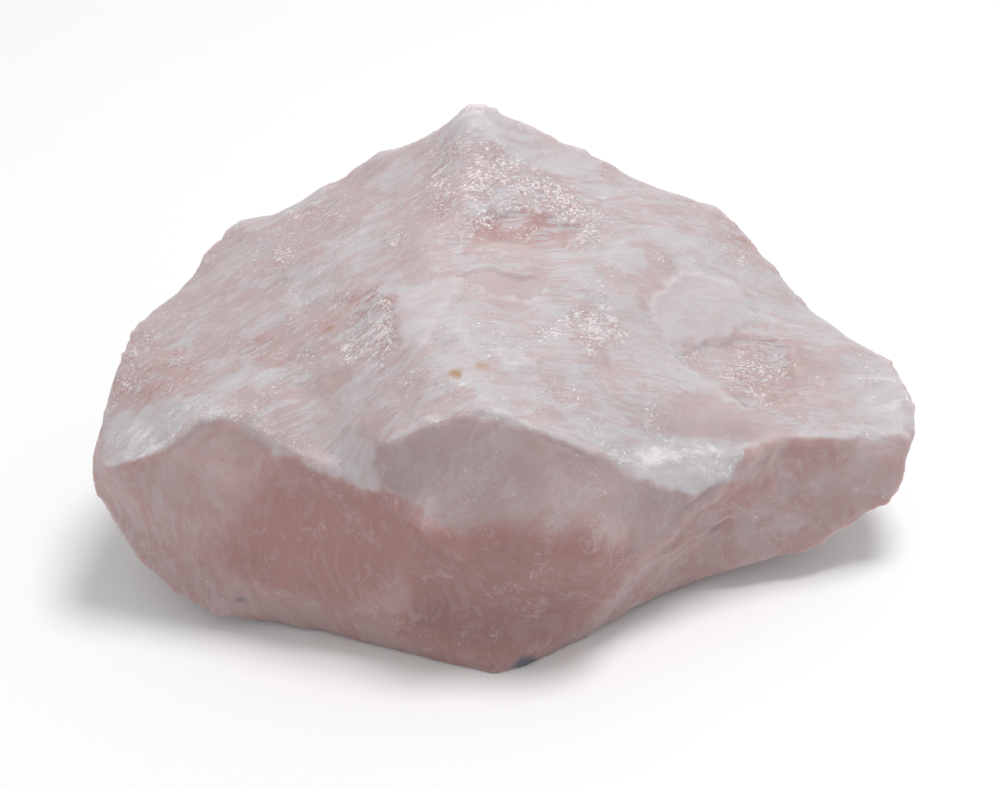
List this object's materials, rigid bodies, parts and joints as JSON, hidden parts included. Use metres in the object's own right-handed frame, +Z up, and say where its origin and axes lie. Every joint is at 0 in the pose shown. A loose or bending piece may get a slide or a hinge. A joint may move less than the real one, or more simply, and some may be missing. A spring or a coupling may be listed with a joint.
{
  "type": "rose quartz chunk",
  "caption": "Rough natural chunk of milky pink rose quartz with broken, ridged faces, lying on a flat underside; a display or prop stone.",
  "frame": {"origin": "on the resting plane, under the centre of the chunk's bounding box", "axes": "+X along the chunk towards its low blunt end, +Y from the steep front to the back, +Z up from the resting face"},
  "size_m": [0.178, 0.107, 0.089],
  "materials": {
    "rose_quartz": "glossy broken"
  },
  "bodies": {
    "root": {"quartz_chunk": "rose_quartz"}
  },
  "joints": []
}
